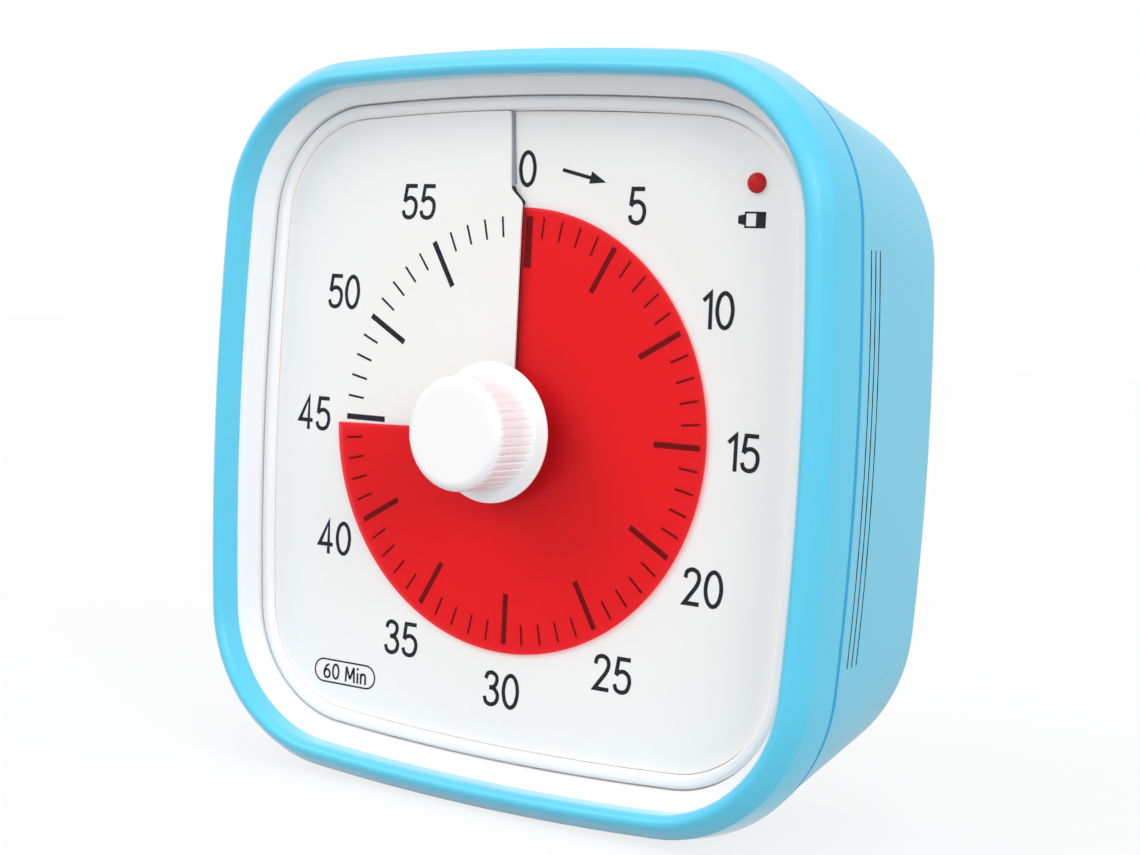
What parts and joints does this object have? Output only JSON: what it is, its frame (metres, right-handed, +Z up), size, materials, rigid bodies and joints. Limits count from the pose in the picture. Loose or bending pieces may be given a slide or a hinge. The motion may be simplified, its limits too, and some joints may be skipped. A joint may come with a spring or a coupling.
{
  "type": "visual countdown timer",
  "caption": "Square desk timer with a red disc that shows the minutes left, a front knob, a clear window and a battery case.",
  "frame": {"origin": "on the surface the timer stands on, under the middle of its width and depth", "axes": "+X to the viewer's right, +Y from the dial into the case, +Z up"},
  "size_m": [0.168, 0.0788, 0.1693],
  "materials": {
    "ring_blue": "satin blue shell plastic",
    "shell_blue": "fine satin blue shell plastic",
    "bezel_white": "smooth white plastic",
    "lens_clear": "clear window plastic",
    "dial_white": "white printed sheet",
    "film_red": "glossy red film",
    "knob_white": "smooth white knob plastic",
    "steel": "turned steel",
    "chassis_grey": "plain white moulding",
    "led_red": "clear red lamp",
    "brass": "turned brass",
    "movement_black": "black moulding",
    "gear_white": "cream gear plastic",
    "rubber_grey": "soft foot rubber",
    "cell_jacket": "plain cell jacket",
    "spring_steel": "nickel plate",
    "board_green": "coated circuit board",
    "chip_black": "black chip resin",
    "speaker_black": "black speaker frame",
    "slider_black": "black slider plastic"
  },
  "bodies": {
    "housing": {"front_ring": "ring_blue", "bezel_frame": "bezel_white", "front_lens": "lens_clear", "dial_plate": "dial_white", "chassis_plate": "chassis_grey", "low_battery_led": "led_red", "front_bush": "brass", "movement_case_front": "movement_black", "movement_case_rear": "movement_black", "drive_motor": "steel", "rear_shell": "shell_blue", "rear_feet": "rubber_grey", "case_screws": "steel", "front_screws": "steel", "movement_screws": "steel", "board_screws": "steel", "battery_box": "chassis_grey", "aa_cells": "cell_jacket", "battery_contacts": "spring_steel", "battery_springs": "spring_steel", "circuit_board": "board_green", "timer_chip": "chip_black", "quartz_crystal": "steel", "volume_switch_body": "chip_black", "duration_switch_body": "chip_black", "loudspeaker": "speaker_black"},
    "knob": {"control_knob": "knob_white", "knob_shaft": "steel", "centre_wheel": "gear_white", "shaft_clip": "steel"},
    "film": {"film_hub": "knob_white", "red_film": "film_red"},
    "third_wheel": {"third_wheel": "gear_white"},
    "motor_pinion": {"motor_pinion": "brass"},
    "door": {"battery_door": "shell_blue"},
    "volume_slider": {"volume_slider": "slider_black"},
    "duration_slider": {"duration_slider": "slider_black"}
  },
  "joints": [
    {"name": "knob_turn", "type": "hinge", "parent": "housing", "child": "knob", "pos_m": [0, -0.0314, 0.0844], "axis": [0, 1, 0], "range_deg": [-268.3, 91.7]},
    {"name": "film_wind", "type": "slide", "parent": "knob", "child": "film", "axis": [0, 1, 0], "range_m": [-0.00052, 0.0015]},
    {"name": "third_wheel_turn", "type": "hinge", "parent": "housing", "child": "third_wheel", "pos_m": [0.01379, -0.0064, 0.09597], "axis": [0, 1, 0], "range_deg": [-459.5, 1342.5]},
    {"name": "motor_turn", "type": "hinge", "parent": "housing", "child": "motor_pinion", "pos_m": [0.01767, -0.0044, 0.08148], "axis": [0, 1, 0], "range_deg": [-5370, 1838]},
    {"name": "door_hinge", "type": "hinge", "parent": "housing", "child": "door", "pos_m": [0, 0.0382, 0.02025], "axis": [-1, 0, 0], "range_deg": [0, 90]},
    {"name": "volume_slide", "type": "slide", "parent": "housing", "child": "volume_slider", "axis": [1, 0, 0], "range_m": [-0.002, 0.002]},
    {"name": "duration_slide", "type": "slide", "parent": "housing", "child": "duration_slider", "axis": [1, 0, 0], "range_m": [0, 0.004]}
  ],
  "couplings": [
    {"joint": "film_wind", "follows": "knob_turn", "m_per_rad": -0.00031831},
    {"joint": "third_wheel_turn", "follows": "knob_turn", "ratio": -5},
    {"joint": "motor_turn", "follows": "knob_turn", "ratio": 20}
  ]
}
